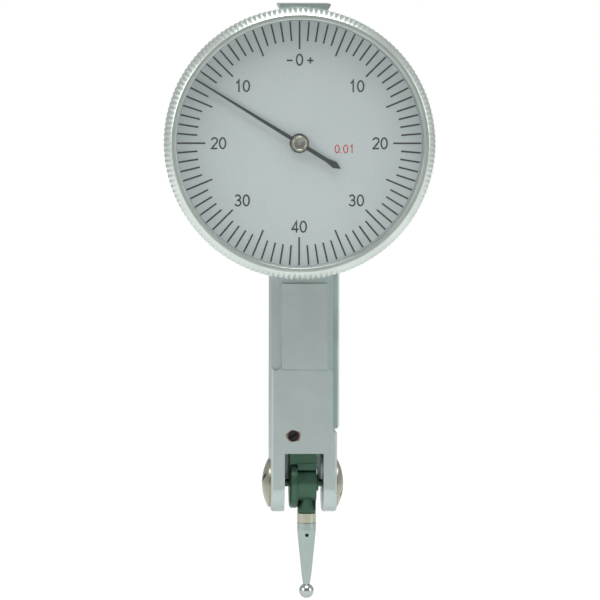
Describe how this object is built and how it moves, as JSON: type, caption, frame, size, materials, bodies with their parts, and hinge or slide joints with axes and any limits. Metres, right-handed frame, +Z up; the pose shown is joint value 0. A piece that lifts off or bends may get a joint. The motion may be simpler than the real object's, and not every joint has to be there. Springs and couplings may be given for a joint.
{
  "type": "lever dial test indicator",
  "caption": "Lever-type dial test indicator with dovetail rails, a knurled rotating bezel, a swivelling ball stylus and a working gear train.",
  "frame": {"origin": "where the hand's axis meets the flat rear face of the body", "axes": "+Z up the stem away from the stylus, -Y out of the dial, +X to the right as the dial is read"},
  "size_m": [0.036, 0.0166, 0.0801],
  "materials": {
    "matt_chrome": "fine satin chrome plate",
    "bezel_chrome": "satin chrome plate, brighter on its chamfer",
    "cover_steel": "fine brushed",
    "screw_steel": "turned and polished",
    "window": "clear",
    "spacer_metal": "turned, matt anodised",
    "dial_silver": "matt silver lacquer, printed graduations",
    "spring_steel": "bright wire",
    "plate_brass": "fine brushed",
    "jewel_red": "polished synthetic ruby",
    "hairspring_blue": "blued strip",
    "arbor_steel": "polished",
    "hand_black": "matt black",
    "hub_metal": "turned",
    "blackened_steel": "chemically blackened",
    "lacquered_grub": "steel with a trace of red locking lacquer",
    "stylus_steel": "polished steel",
    "ball_carbide": "polished hard metal"
  },
  "bodies": {
    "housing": {"body_housing": "matt_chrome", "rear_cover": "cover_steel", "rear_cover_screws": "screw_steel", "bezel_spring_wire": "spring_steel", "movement_plate": "plate_brass", "movement_plate_screws": "screw_steel", "centre_bridge": "plate_brass", "centre_bridge_screw": "screw_steel", "centre_jewels": "jewel_red", "crown_jewels": "jewel_red", "hairspring": "hairspring_blue", "hairspring_stud": "plate_brass", "pivot_screw_left": "screw_steel", "pivot_screw_right": "screw_steel", "set_screw": "lacquered_grub"},
    "bezel": {"bezel_ring": "bezel_chrome", "crystal": "window", "crystal_spacer_ring": "spacer_metal", "dial_plate": "dial_silver", "dial_retaining_ring": "spring_steel"},
    "hand": {"centre_arbor": "arbor_steel", "hairspring_collet": "plate_brass", "hand": "hand_black", "hand_hub": "hub_metal"},
    "crown": {"crown_wheel": "plate_brass", "crown_arbor": "arbor_steel"},
    "lever": {"lever_block": "blackened_steel", "sector_blade": "arbor_steel", "sector_rivets": "plate_brass", "pivot_shaft": "arbor_steel", "friction_washer": "spring_steel", "shaft_collar": "blackened_steel"},
    "stylus": {"stylus_holder": "blackened_steel", "stylus": "stylus_steel", "contact_ball": "ball_carbide"}
  },
  "joints": [
    {"name": "lever_rock", "type": "hinge", "parent": "housing", "child": "lever", "pos_m": [0, -0.005, -0.046], "axis": [-1, 0, 0], "range_deg": [-2.2, 2.2], "stiffness_Nm_per_rad": 0.076},
    {"name": "crown_spin", "type": "hinge", "parent": "housing", "child": "crown", "pos_m": [0, -0.005, 0], "axis": [1, 0, 0], "range_deg": [-82.2, 82.2]},
    {"name": "hand_spin", "type": "hinge", "parent": "housing", "child": "hand", "pos_m": [0, -0.01, 0], "axis": [0, 1, 0], "range_deg": [-252.5, 252.5]},
    {"name": "bezel_turn", "type": "hinge", "parent": "housing", "child": "bezel", "pos_m": [0, -0.0135, 0], "axis": [0, 1, 0], "continuous": true},
    {"name": "stylus_swivel", "type": "hinge", "parent": "lever", "child": "stylus", "pos_m": [0.00145, -0.005, -0.046], "axis": [-1, 0, 0], "range_deg": [-100, 100]}
  ],
  "couplings": [
    {"joint": "crown_spin", "follows": "lever_rock", "ratio": 37.333},
    {"joint": "hand_spin", "follows": "lever_rock", "ratio": 114.67}
  ]
}
